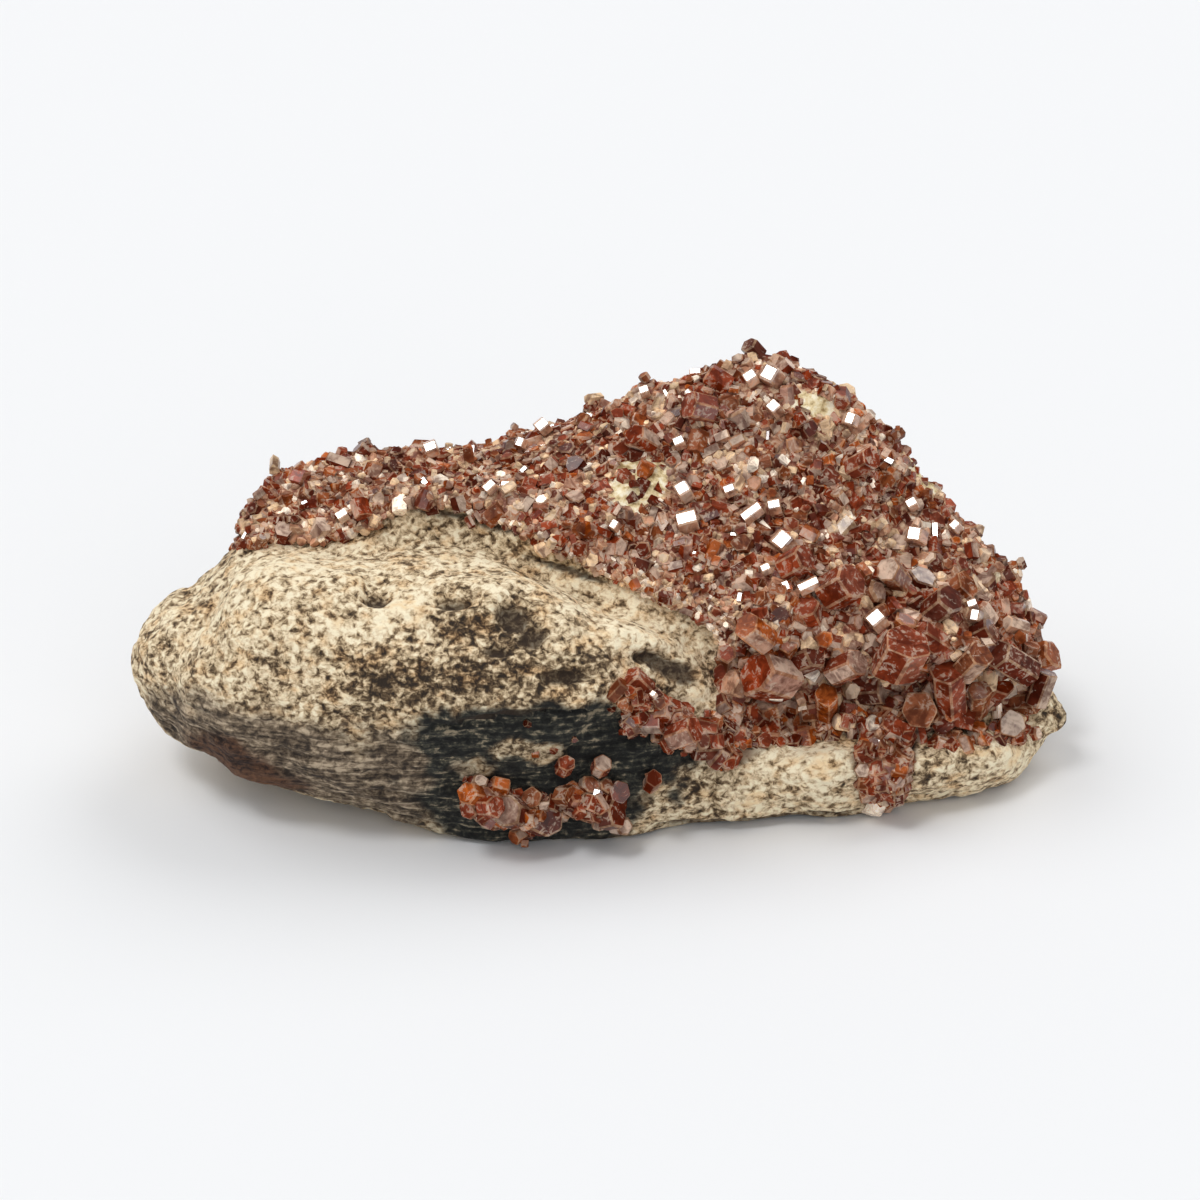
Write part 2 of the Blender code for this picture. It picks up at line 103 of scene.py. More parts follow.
# Coarse crystals, which the solid crust has too: right, up, radius, length, lean to the right and to the viewer,
# tone.
COARSE = [(30.0, -5.5, 2.5, 4.2, 25, 5, "red"), (17.2, -7.7, 2.4, 4.6, -60, 20, "red"),
          (24.6, -6.8, 1.7, 3.6, 50, 10, "red"), (31.8, -11.2, 2.0, 3.8, -10, 50, "brown"),
          (34.8, -9.0, 1.7, 5.6, 5, 5, "red"), (37.7, -10.2, 1.3, 4.2, 0, 8, "brown"),
          (41.3, -6.3, 1.5, 5.6, -32, 5, "deep"), (44.0, -8.8, 1.3, 3.6, 15, 5, "deep"),
          (42.2, -10.3, 1.3, 3.2, 75, 30, "brown"), (41.0, -12.6, 1.5, 3.0, 10, 50, "brown"),
          (37.2, -6.4, 1.6, 4.0, 30, 10, "brown"), (24.0, 1.4, 1.9, 3.6, 45, 0, "red"),
          (29.3, 2.4, 1.5, 3.0, -40, 10, "brown"), (19.5, 3.8, 1.6, 3.0, 60, 10, "red"),
          (15.7, -3.2, 1.6, 3.4, -45, 10, "orange"), (22.6, -10.4, 1.4, 3.4, 5, 5, "orange"),
          (17.1, -11.0, 1.5, 3.2, -20, 15, "brown"), (13.6, -8.6, 1.6, 3.2, -50, 20, "rose"),
          (34.0, -0.5, 1.7, 3.4, 40, 0, "deep"), (10.0, 19.3, 1.4, 3.0, -60, 10, "red"),
          (26.3, 13.6, 1.3, 3.0, 55, 10, "red"), (4.2, 16.0, 1.3, 2.8, -45, 10, "red"),
          (20.5, -5.6, 1.7, 3.4, 40, 10, "deep"), (27.0, -9.4, 1.5, 3.0, 70, 0, "deep"),
          (39.5, -9.2, 1.4, 3.6, 15, 10, "red"), (33.0, -4.0, 1.6, 3.2, -70, 0, "red"),
          (38.0, -3.6, 1.5, 3.0, 60, 20, "deep"), (21.0, -1.5, 1.5, 3.0, -30, 10, "red")]

# Coarse crystals of the front cluster and of the foot cluster, in the same terms.
FRONT = [(3.6, -8.6, 1.6, 2.8, -60, 10, "red"), (6.6, -9.8, 1.3, 2.6, 70, 0, "orange"),
         (8.4, -13.4, 1.4, 3.0, 60, 10, "red"), (10.4, -14.8, 1.2, 2.6, -70, 0, "deep"),
         (5.0, -12.0, 1.4, 2.8, 75, 10, "red"), (2.4, -11.4, 1.2, 2.4, -50, 0, "red")]
FOOT = [(-8.8, -21.2, 1.8, 2.6, -35, 40, "deep"), (-5.6, -22.0, 1.8, 2.8, 20, 35, "deep"),
        (-2.0, -21.8, 1.7, 2.4, -65, 45, "deep"), (1.0, -21.4, 1.5, 2.2, 60, 30, "deep"),
        (-12.8, -19.4, 1.3, 1.9, -50, 40, "orange"), (-11.0, -20.6, 1.3, 2.0, 70, 50, "red"),
        (-3.4, -19.6, 1.2, 1.7, 80, 50, "brown"), (-6.8, -19.8, 1.1, 1.6, -20, 60, "brown"),
        (1.6, -19.2, 1.2, 1.8, 30, 40, "red")]

# Crystals with a side face that mirrors the key light: right, up, the face's width, its length and its turn.
GLINTS = [(8.5, 7.5, 1.7, 2.0, 5), (8.2, 10.5, 1.7, 1.2, 20), (-5.5, 16.5, 1.3, 1.1, 30),
          (17.0, 21.7, 1.9, 1.6, 50), (15.0, 21.5, 1.3, 1.2, 20), (17.3, 18.9, 1.5, 1.0, 35),
          (24.7, 18.0, 1.2, 1.2, 60), (8.0, 15.3, 1.1, 1.0, 15), (12.0, 10.8, 1.0, 1.1, 10),
          (17.0, 9.3, 1.2, 1.2, 0), (14.9, 8.0, 1.1, 2.4, 25), (18.0, 5.2, 2.0, 1.5, 40),
          (20.4, 1.0, 1.0, 2.4, 15), (31.0, 6.6, 1.8, 1.2, 70), (30.4, 9.4, 1.1, 1.0, 20),
          (27.0, -2.3, 1.7, 1.5, 30), (36.2, -0.8, 0.9, 0.9, 10), (36.8, -2.4, 1.1, 1.2, 70),
          (-26.0, 8.2, 1.0, 1.1, 25), (-18.2, 14.8, 1.3, 1.2, 10), (-10.5, 10.7, 1.0, 1.2, 30),
          (1.2, 7.5, 0.9, 0.9, 50), (16.5, 2.6, 0.9, 0.9, 15), (19.7, -8.7, 1.0, 0.8, 15),
          (33.7, -8.2, 1.1, 1.5, 45), (4.8, 20.3, 1.0, 0.9, 10), (-8.0, 14.6, 0.9, 0.9, 60),
          (35.0, 7.0, 1.0, 0.9, 35)]

FRONT_GLINTS = [(1.2, -10.8, 0.7, 0.6, 20), (4.6, -9.6, 0.6, 0.5, 40)]
FOOT_GLINTS = [(-6.6, -18.6, 0.5, 0.5, 10)]
GLINT_SIZE = 0.76  # what their radius and length come to, as a share of the width and length above
GLINT_RAISED = 1.35  # how far they stand out, clear of their neighbours

# Cream-yellow patches: right, up, half width, half height, turn.
PATCHES = [(3.6, 11.2, 2.8, 2.6, 50), (5.2, 12.6, 1.9, 1.4, 20), (21.3, 19.5, 2.9, 1.3, -10),
           (9.3, -9.1, 1.0, 1.8, 0), (32.3, 12.6, 1.0, 2.6, 35)]

# Crystals strewn past the crust's edge: right, up, half width, half height, turn, count, least and most radius.
STREWN = [(28.6, -15.6, 2.4, 5.6, -8, 200, 0.45, 1.1), (18.5, -12.6, 6.5, 1.6, 0, 90, 0.5, 1.2),
          (13.2, -8.6, 1.6, 2.6, 0, 40, 0.5, 1.1), (38.5, -13.6, 5.5, 0.9, 8, 50, 0.4, 0.9),
          (12.5, -13.8, 3.5, 1.2, 0, 26, 0.3, 0.6), (-35.0, 5.6, 2.5, 0.6, 0, 20, 0.3, 0.5)]
# Lone crystals: right, up, radius.
STRAY = [(1.1, -10.9, 0.4), (-7.2, -12.4, 0.4), (4.3, -13.3, 0.45), (-2.6, -13.9, 0.35), (8.4, -15.2, 0.4),
         (-6.4, -15.4, 0.45), (-4.6, -15.0, 0.4), (4.9, -17.6, 0.5)]

# Areas of the druse: right, up, half width, half height, turn, then the crystals' size and the pale share.
DRUSE_AREAS = [(-18.0, 9.0, 17.0, 7.0, 12, 0.9, 0.42), (3.5, 0.5, 9.5, 3.2, -18, 0.6, 0.9),
               (14.0, -2.8, 4.5, 2.4, -25, 0.7, 0.7), (33.0, -6.0, 14.0, 8.5, 0, 1.7, 0.22),
               (20.0, -9.0, 9.0, 4.5, 0, 1.5, 0.25), (-30.0, 7.5, 8.0, 3.4, 0, 0.8, 0.5),
               (4.0, 11.0, 2.6, 2.4, 0, 0.6, 0.95), (21.5, 19.6, 2.6, 1.2, 0, 0.6, 0.95),
               (32.5, 12.8, 1.6, 3.0, 20, 0.8, 0.8)]

# The druse's crystals, large ones first: name, tries, least and most radius, how near they may stand as a share
# of their radii, length over radius, how much of each upright edge is cut off, and how many times the area's
# share of them is pale. The clusters' crystals have the same table.
GRADES = [("crystals_large", 1800, 0.7, 1.05, 0.85, (1.8, 2.8), 0.0, 0.3),
          ("crystals_middle", 40000, 0.4, 0.66, 0.68, (1.8, 3.2), 0.0, 0.9),
          ("crystals_small", 90000, 0.26, 0.4, 0.72, (2.0, 3.6), 0.0, 2.4)]
CLUSTER_GRADES = [("large", 900, 0.7, 1.0, 0.62, (1.8, 2.6), 0.1, 0.0),
                  ("small", 5000, 0.28, 0.55, 0.6, (1.8, 3.0), 0.0, 1.0)]
DRUSE_PALE, CLUSTER_PALE, STREWN_PALE = 0.26, 0.2, 0.06  # the share of pale crystals
SPARKLING = 0.01  # the share of small crystals with a face that mirrors the key light
SHINY = 0.1  # the share of faces with some shine
ROCK_ROOM, FLOOR_ROOM = 2.5, 0.6  # where the rock or the floor is nearer than this, no crystal grows
COARSE_ROOM = 0.9  # the share of a coarse crystal's radius that is kept clear round it

# What prisms makes of its crystals, by kind.
GROWN_BEVELS, GROWN_UNEVEN = (0.08, 0.32), 0.24
# In each, the last entry is the share of faces with painted sheen.
COARSE_STYLE = {"cut": 0.1, "bevels": (0.06, 0.16), "uneven": 0.16, "sheen_share": 0.15}
STREWN_STYLE = {"cut": 0.1, "bevels": (0.1, 0.3), "uneven": 0.2, "sheen_share": 0.15}
SINGLE_STYLE = {"cut": 0.1, "bevels": (0.1, 0.2), "uneven": 0.1, "sheen_share": 0.3}
SINGLE_RADIUS, SINGLE_LENGTH = 0.95, 2.0


def mesh_arrays(mesh):
    """A mesh's vertices in millimetres, and their normals."""
    points = np.empty(len(mesh.vertices) * 3)
    mesh.vertices.foreach_get("co", points)
    normals = np.empty(len(mesh.vertices) * 3)
    mesh.vertex_normals.foreach_get("vector", normals)
    return points.reshape(-1, 3) / MM, normals.reshape(-1, 3)


def set_points(mesh, points):
    mesh.vertices.foreach_set("co", (points * MM).ravel())
    mesh.update()


def remeshed(name, nodes, smoothing):
    """A new piece, one even and smoothed mesh round copies of CAD nodes, with its points and its normals."""
    points, faces = [], []
    for node in nodes:
        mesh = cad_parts[node].data
        start = len(points)
        points += [v.co / MM for v in mesh.vertices]
        faces += [[start + i for i in p.vertices] for p in mesh.polygons]
    mesh = bpy.data.meshes.new(name)
    mesh.from_pydata(points, [], faces)
    obj = bpy.data.objects.new(name, mesh)
    bpy.context.scene.collection.objects.link(obj)
    remesh = obj.modifiers.new("even", "REMESH")
    remesh.mode = "VOXEL"
    remesh.voxel_size = VOXEL
    even = bpy.data.meshes.new_from_object(obj.evaluated_get(bpy.context.evaluated_depsgraph_get()))
    obj.modifiers.clear()
    obj.data = even
    even.name = name
    points = np.empty(len(even.vertices) * 3)
    even.vertices.foreach_get("co", points)
    set_points(even, points.reshape(-1, 3))
    points = smoothed(even, mesh_arrays(even)[0], smoothing)
    set_points(even, points)
    return obj, points, mesh_arrays(even)[1]


def smoothed(mesh, points, times):
    """Points moved half way to the middle of their neighbours, this many times."""
    edges = np.empty(len(mesh.edges) * 2, int)
    mesh.edges.foreach_get("vertices", edges)
    edges = edges.reshape(-1, 2)
    ends, others = edges.ravel(), edges[:, ::-1].ravel()
    share = 0.5 / np.bincount(ends, minlength=len(points))
    for _ in range(times):
        sums = [np.bincount(ends, weights=points[others, k], minlength=len(points)) for k in range(3)]
        points = points * 0.5 + np.stack(sums, axis=1) * share[:, None]
    return points


def lattice(corner, seed):
    """A fixed random number from -1 to 1 for each whole-numbered corner."""
    mixed = corner[:, 0] * 374761393 + corner[:, 1] * 668265263 + corner[:, 2] * 974634777 + seed * 362437
    mixed = (mixed ^ (mixed >> 13)) * 1274126177 & 0xFFFFFFFF
    mixed = (mixed ^ (mixed >> 15)) * 2246822519 & 0xFFFFFFFF
    return (mixed ^ (mixed >> 16)) / 0x7FFFFFFF - 1


def noise(points, size, seed=0):
    """Smooth noise from about -1 to 1. size is that of its features, one number or one for each axis."""
    scaled = points / np.array(size)
    corner = np.floor(scaled).astype(np.int64)
    part = scaled - corner
    part = part * part * (3 - 2 * part)
    total = np.zeros(len(points))
    for dx in (0, 1):
        for dy in (0, 1):
            for dz in (0, 1):
                weight = np.where(dx, part[:, 0], 1 - part[:, 0])
                weight = weight * np.where(dy, part[:, 1], 1 - part[:, 1])
                weight = weight * np.where(dz, part[:, 2], 1 - part[:, 2])
                total += weight * lattice(corner + [dx, dy, dz], seed)
    return total


def layered(points, size, octaves, seed=0):
    """Noise with finer, weaker noise added to it."""
    size = np.array(size, float)
    return sum(noise(points, size / 2 ** k, seed + k) / 1.9 ** k for k in range(octaves))


def ramp(value, low, high):
    """0 below low, 1 above high and smooth between them."""
    t = np.clip((value - low) / (high - low), 0, 1)
    return t * t * (3 - 2 * t)


def front_view(points):
    """Where the front view shows points."""
    rel = points - np.array(EYE)
    depth = -rel @ EYEWARD
    return np.stack([rel[:, 0], rel @ np.array(VIEW_UP)], axis=1) * (DISTANCE / depth)[:, None]


def blob(places, right, up, half_width, half_height, turn=0.0, edge=0.3, stray=0.0):
    """1 inside an ellipse of the front view and 0 outside it. stray moves its edge in or out."""
    c, s = math.cos(math.radians(turn)), math.sin(math.radians(turn))
    x, y = places[:, 0] - right, places[:, 1] - up
    reach = np.hypot((x * c + y * s) / half_width, (y * c - x * s) / half_height) + stray
    return 1 - ramp(reach, 1 - edge, 1 + edge)


def faces_view(normals):
    """1 where a surface faces the front view, and 0 where it faces away."""
    return ramp(normals @ EYEWARD, -0.05, 0.2)


def edge_on(normals):
    """1 where the front view sees a surface edge on, and 0 where it faces the viewer or faces away."""
    return 1 - ramp(np.abs(normals @ EYEWARD), 0.1, 0.5)


def put(mesh, name, values):
    """Stores one number for each vertex."""
    layer = mesh.attributes.new(name, "FLOAT", "POINT")
    layer.data.foreach_set("value", np.asarray(values, np.float32))


class Surface:
    """A Principled material, and the nodes that feed it."""

    def __init__(self, name, **values):
        self.material = bpy.data.materials.new(name)
        self.material.use_nodes = True
        self.tree = self.material.node_tree
        self.shader = self.tree.nodes["Principled BSDF"]
        for key, value in values.items():
            self.shader.inputs[key.replace("_", " ")].default_value = value

    def add(self, kind, settings, **inputs):
        node = self.tree.nodes.new(kind)
        for key, value in settings.items():
            setattr(node, key, value)
        for key, value in inputs.items():
            self.feed(node.inputs[key.replace("_", " ")], value)
        return node

    def feed(self, socket, value):
        if isinstance(value, bpy.types.NodeSocket):
            self.tree.links.new(value, socket)
        else:
            socket.default_value = value

    def place(self, stretch=(1, 1, 1)):
        """The place on the surface in millimetres, drawn out by stretch."""
        where = self.add("ShaderNodeTexCoord", {}).outputs["Object"]
        scale = [1 / MM / s for s in stretch]
        return self.add("ShaderNodeMapping", {}, Vector=where, Scale=scale).outputs["Vector"]

    def grain(self, where, size, detail=3.0, roughness=0.6, distortion=0.0):
        return self.add("ShaderNodeTexNoise", {}, Vector=where, Scale=1 / size, Detail=detail,
                        Roughness=roughness, Distortion=distortion).outputs["Fac"]

    def stored(self, name, output="Fac"):
        return self.add("ShaderNodeAttribute", {"attribute_name": name}).outputs[output]

    def math(self, operation, a, b):
        node = self.tree.nodes.new("ShaderNodeMath")
        node.operation = operation
        self.feed(node.inputs[0], a)
        self.feed(node.inputs[1], b)
        return node.outputs[0]

    def shades(self, value, *stops):
        """The colour for value, between stops of (position, linear colour)."""
        node = self.add("ShaderNodeValToRGB", {}, Fac=value)
        elements = node.color_ramp.elements
        while len(elements) < len(stops):
            elements.new(0.5)
        for element, (position, colour) in zip(elements, stops):
            element.position = position
            element.color = (*colour, 1.0)
        return node.outputs["Color"]

    def mix(self, factor, a, b):
        node = self.tree.nodes.new("ShaderNodeMix")
        node.data_type = "RGBA"
        self.feed(node.inputs[0], factor)
        self.feed(node.inputs[6], a)
        self.feed(node.inputs[7], b)
        return node.outputs[2]

    def times(self, a, b):
        node = self.tree.nodes.new("ShaderNodeMix")
        node.data_type = "RGBA"
        node.blend_type = "MULTIPLY"
        self.feed(node.inputs[0], 1.0)
        self.feed(node.inputs[6], a)
        self.feed(node.inputs[7], b)
        return node.outputs[2]

    def bump(self, height, strength, depth):
        node = self.add("ShaderNodeBump", {}, Height=height, Strength=strength, Distance=depth * MM)
        self.feed(self.shader.inputs["Normal"], node.outputs["Normal"])

    def colour(self, socket):
        self.feed(self.shader.inputs["Base Color"], socket)


def rock_material():
    """Cream rock with olive-grey specks, and the markings that the mesh numbers at each vertex, painted shade
    and highlight among them.
    """
    s = Surface("host_rock", Roughness=0.9)
    streaked = s.place((1.25, 1.25, 1.0))
    speck = s.grain(streaked, 0.62, 3.0, 0.62, 0.4)
    broad = s.grain(s.place((2.0, 2.0, 1.0)), 3.2, 3.0, 0.55)
    level = s.math("ADD", speck, s.math("MULTIPLY", s.math("SUBTRACT", broad, 0.5), 0.36))
    level = s.math("SUBTRACT", level, s.math("MULTIPLY", s.stored("brown"), 0.075))
    # The cream areas: paler with painted highlight on the bulge's top, darker with painted shade on its middle,
    # and the rock's own cream.
    level = s.math("ADD", level, s.math("MULTIPLY", s.stored("cream"), 0.06))
    level = s.math("ADD", level, s.math("MULTIPLY", s.stored("height"), 0.05))
    cream = s.shades(level, (0.29, srgb(44, 32, 20)), (0.37, srgb(88, 69, 47)), (0.43, srgb(136, 114, 85)),
                     (0.49, srgb(194, 171, 136)), (0.555, srgb(231, 209, 174)), (0.65, srgb(255, 242, 210)))
    warm = s.shades(s.grain(s.place((1.5, 1.5, 1.0)), 1.4, 2.0, 0.6), (0.5, srgb(255, 255, 255)),
                    (0.68, srgb(248, 232, 214)))
    cream = s.times(cream, warm)
    layers = s.grain(s.place((5.0, 5.0, 0.6)), 0.9, 3.0, 0.6, 0.3)
    flow = s.math("ADD", s.math("MULTIPLY", level, 0.5), s.math("MULTIPLY", layers, 0.5))
    slate = s.shades(flow, (0.40, srgb(46, 36, 27)), (0.47, srgb(88, 74, 59)), (0.54, srgb(134, 117, 96)),
                     (0.62, srgb(196, 176, 150)))
    black = s.shades(flow, (0.42, srgb(10, 10, 8)), (0.5, srgb(32, 33, 29)), (0.57, srgb(72, 70, 59)),
                     (0.64, srgb(158, 144, 120)))
    colour = s.mix(s.stored("slate"), cream, slate)
    colour = s.mix(s.stored("black"), colour, black)
    rust = s.shades(flow, (0.42, srgb(40, 22, 14)), (0.6, srgb(112, 78, 56)))
    colour = s.mix(s.stored("rust"), colour, rust)
    # Painted shade in the crevices, from the shadow marking.
    shadow = s.math("MULTIPLY", s.stored("shadow"), 0.85)
    colour = s.mix(shadow, colour, (*srgb(50, 36, 24), 1.0))
    s.colour(colour)
    s.bump(s.grain(streaked, 0.45, 4.0, 0.65), 0.9, 0.4)
    return s.material


def bed_material():
    """The ground between the crystals: dark red, tan where "pale" is 1, and cream-yellow where "yellow" is."""
    s = Surface("druse_ground", Roughness=0.55)
    level = s.grain(s.place(), 0.9, 3.0, 0.6)
    dark = s.shades(level, (0.34, DEEP), (0.46, RED), (0.56, ROSE), (0.68, TAN))
    tan = s.shades(level, (0.34, BROWN), (0.44, ROSE), (0.54, TAN), (0.7, PALE))
    tan = s.mix(s.stored("pale"), dark, tan)
    yellow = s.shades(level, (0.34, srgb(160, 132, 84)), (0.48, srgb(232, 210, 160)),
                      (0.62, srgb(255, 246, 218)))
    s.colour(s.mix(s.stored("yellow"), tan, yellow))
    s.bump(s.grain(s.place(), 0.4, 3.0, 0.6), 0.6, 0.2)
    return s.material


def crystal_material():
    """Vanadinite, with a tone and a shine for each face, and patches of painted sheen. Most faces are dull, so
    they keep their colour.
    """
    s = Surface("vanadinite", Roughness=0.12, IOR=1.75)
    s.feed(s.shader.inputs["Specular IOR Level"], s.stored("gloss"))
    cloud = s.grain(s.place(), 0.8, 4.0, 0.65, 1.0)
    broad = s.grain(s.place(), 2.0, 3.0, 0.6, 1.0)
    depth = s.shades(broad, (0.38, (0.6, 0.54, 0.54)), (0.5, (1.15, 1.15, 1.15)), (0.64, (1.5, 1.5, 1.5)))
    tint = s.times(s.stored("tint", "Color"), depth)
    cloud = s.math("ADD", cloud, s.math("MULTIPLY", s.math("SUBTRACT", broad, 0.5), 0.5))
    darker = s.mix(0.35, tint, (*DEEP, 1.0))
    mottled = s.mix(s.shades(cloud, (0.36, (0, 0, 0)), (0.5, (1, 1, 1))), darker, tint)
    # Painted sheen in patches over the faces.
    sheen = s.shades(cloud, (0.55, (0, 0, 0)), (0.63, (0.6, 0.6, 0.6)))
    s.colour(s.mix(sheen, mottled, (*SHEEN_TONE, 1.0)))
    return s.material


# Markings of the rock's front, each an ellipse of the front view: right, up, half width, half height, turn.
SLATE_AREAS = [(-32.5, -16.0, 16.0, 5.0, -15), (-20.0, -18.0, 8.0, 4.5, -10)]
BLACK_AREAS = [(-3.5, -14.6, 15.5, 4.2, -3), (-6.5, -19.0, 12.5, 6.0, 0)]
CREAM_BITS = [(-13.0, -17.4, 1.9, 1.5, 0), (-6.8, -15.2, 3.4, 0.8, 0)]  # left in the black patch
BROWN_AREAS = [(-14.5, -2.0, 2.6, 2.6, 0), (-7.7, -2.6, 3.2, 2.6, 0), (-22.4, 0.8, 1.8, 1.4, 0),
               (-7.5, -8.5, 4.5, 1.8, 0), (-14.5, 0.2, 2.4, 1.0, 0), (4.9, -5.6, 2.0, 1.0, 0),
               (-17.5, -8.5, 5.0, 1.4, 0), (-1.5, -6.0, 2.5, 1.5, 0)]
# Paler cream: the rock's own, and painted highlight along the bulge's top. The same terms, then how soft the
# edge is and how strong the marking. A strength below 0 takes it away, as painted shade on the bulge's middle.
CREAM_AND_PAINTED_LIGHT_AREAS = [(5.0, -2.0, 9.5, 3.4, -10, 0.5, 1.0), (19.0, -17.5, 8.0, 4.0, 0, 0.4, 1.0),
               (38.0, -16.5, 9.0, 3.0, 8, 0.4, 0.8), (9.3, -9.1, 1.2, 2.0, 0, 0.3, 2.0),
               (-28.0, -0.5, 14.0, 5.0, 10, 0.6, 0.7), (-18.0, 3.0, 20.0, 3.0, -4, 0.5, 0.7),
               (-16.0, -7.0, 14.0, 4.0, 0, 0.5, -0.7)]
RUST_AREAS = [(-35.5, -16.8, 6.0, 2.2, -25, 0.3, 1.0), (12.5, -15.0, 2.6, 1.4, 0, 0.4, 0.8),
              (28.6, -15.6, 2.6, 5.8, -8, 0.2, 1.0)]

# Hollows of the rock's front: right, up, half width, half height, turn, depth.
HOLLOWS = [(-14.5, -0.2, 2.4, 1.0, 0, 0.9), (-22.3, 0.6, 1.6, 1.2, 0, 0.7), (-7.7, -2.6, 3.2, 2.6, 0, 0.9),
           (-4.0, -7.5, 3.0, 1.6, 0, 0.5), (6.0, -5.6, 2.2, 1.0, 0, 0.6)]
# Crevices under the crust's lips, in the ledges and in the hollows: grooves with painted shade in them.
# In the same terms but the depth.
SHADED_CREVICES = [(-13.0, 8.1, 6.8, 0.4, -13), (-3.2, 3.0, 4.0, 0.32, -18), (27.8, -10.2, 1.8, 1.2, 0),
            (15.0, -22.0, 10.0, 0.35, 3), (-10.0, -11.4, 4.5, 0.3, 6), (-14.5, -0.2, 1.8, 0.55, 0),
            (-8.8, -1.6, 1.7, 1.1, -10), (-6.4, -3.4, 1.5, 1.1, 0), (-22.3, 0.4, 1.3, 0.7, 0),
            (4.9, -5.6, 1.6, 0.6, 0), (-3.5, -7.8, 2.2, 0.7, 0), (7.6, -6.9, 2.6, 1.1, -20),
            (-10.4, -5.2, 1.2, 0.5, 0)]
CREVICE_DEPTH = 0.5
LEDGE = ((-14.7, -12.2), (0.1, -10.8))  # the undercut above the black patch, from end to end
LEDGE_STEP = 0.7
CRACK = ((11.5, -17.5), (11.3, -21.2))
CRACK_DEPTH, CRACK_WIDTH = 0.5, 0.25

# How far the rock's relief rises: its swells, its streaks, what slaty parts add to those, and its grain.
SWELLS, STREAKS, SLATY_STREAKS, GRAIN = 0.42, 0.16, 0.22, 0.17


def beside(places, line):
    """How far places lie above a line of the front view, and how far beyond its ends."""
    (x0, y0), (x1, y1) = line
    along = np.array([x1 - x0, y1 - y0])
    length = np.hypot(*along)
    along = along / length
    rel = places - np.array([x0, y0])
    run = rel @ along
    return rel @ np.array([-along[1], along[0]]), np.maximum(0, np.maximum(-run, run - length))


def covered(places, areas, edge, stray):
    """1 inside any of several ellipses of the front view."""
    return np.max([blob(places, *area, edge, stray) for area in areas], axis=0)


def markings(points, places, facing, ragged):
    """How far each kind of marking covers each point of the rock."""
    slate = covered(places, SLATE_AREAS, 0.3, ragged) * facing
    black = covered(places, BLACK_AREAS, 0.12, ragged) * facing
    black = black * (1 - 0.8 * covered(places, CREAM_BITS, 0.2, 2.5 * ragged))
    brown = sum(blob(places, *area, 0.45, ragged) for area in BROWN_AREAS) * facing
    # Painted highlight on the bulge's top and painted shade on its middle, with the rock's own paler cream.
    cream = sum(strength * blob(places, *area) for *area, strength in CREAM_AND_PAINTED_LIGHT_AREAS) * facing
    rust = np.max([strength * blob(places, *area, ragged) for *area, strength in RUST_AREAS], axis=0) * facing
    # Painted shade over the crevices.
    shadow = sum(blob(places, *area, 0.25, 1.2 * ragged) for area in SHADED_CREVICES) * facing
    # The photograph doesn't show the back, which has blotches of slate and brown too.
    behind = 1 - facing
    blotches = layered(points, (14, 14, 7), 3, BACK_SLATE_NOISE)
    slate = np.maximum(slate, behind * ramp(blotches + ragged, 0.3, 0.5))
    brown = brown + behind * ramp(layered(points, (6, 6, 3), 2, BACK_BROWN_NOISE), 0.4, 0.9)
    return {"slate": slate, "black": black, "brown": brown, "cream": cream, "rust": rust, "shadow": shadow}


def relief(points, places, facing, ragged, marks):
    """How far the rock's surface rises at each point, and its grain alone."""
    streaks = layered(points, (5.0, 5.0, 0.9), 3, STREAK_NOISE)
    slaty = np.maximum(marks["slate"], marks["black"])
    height = SWELLS * layered(points, (7.0, 7.0, 5.0), 2, SWELL_NOISE)
    height = height + streaks * (STREAKS + SLATY_STREAKS * slaty)
    grain = layered(points, (1.3, 1.3, 1.0), 2, GRAIN_NOISE)
    height = height + GRAIN * grain
    for *area, depth in HOLLOWS:
        height -= depth * blob(places, *area, 0.5, ragged) * facing
    height -= CREVICE_DEPTH * np.clip(marks["shadow"], 0, 1)
    above, beyond = beside(places, LEDGE)
    step = np.where(above > 0, np.exp(-above / 2.2), -1.2 * np.exp(above / 2.6)) * np.exp(-beyond / 2.0)
    height += LEDGE_STEP * step * facing
    above, beyond = beside(places, CRACK)
    height -= CRACK_DEPTH * np.exp(-(above / CRACK_WIDTH) ** 2) * np.exp(-beyond / 0.5) * facing
    return height, grain


def make_rock():
    obj, points, normals = remeshed("rock", ["matrix"], ROCK_SMOOTHING)
    mesh = obj.data
    places = front_view(points)
    facing = faces_view(normals)
    ragged = noise(points, 2.6, RAGGED_NOISE) * 0.22 + noise(points, 1.0, RAGGED_NOISE + 1) * 0.12
    marks = markings(points, places, facing, ragged)
    height, grain = relief(points, places, facing, ragged, marks)
    above_rest = ramp(points[:, 2], 0.0, 0.8)  # the face that the rock rests on stays flat
    points = points + normals * (height * above_rest)[:, None]
    points[:, 2] = np.maximum(points[:, 2], 0.0)
    set_points(mesh, points)
    marks["height"] = grain
    for name, values in marks.items():
        put(mesh, name, np.clip(values, -1, 1))
    mesh.shade_smooth()
    mesh.materials.clear()
    mesh.materials.append(rock_material())
    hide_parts("matrix")
    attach(obj, BODY)
    return obj


def patches(points, normals):
    """1 on the druse's cream-yellow patches, where hardly a crystal stands."""
    places = front_view(points)
    ragged = noise(points, 1.5, PATCH_NOISE) * 0.3
    yellow = sum(blob(places, *area, 0.2, ragged) for area in PATCHES)
    return np.clip(yellow, 0, 1) * faces_view(normals)


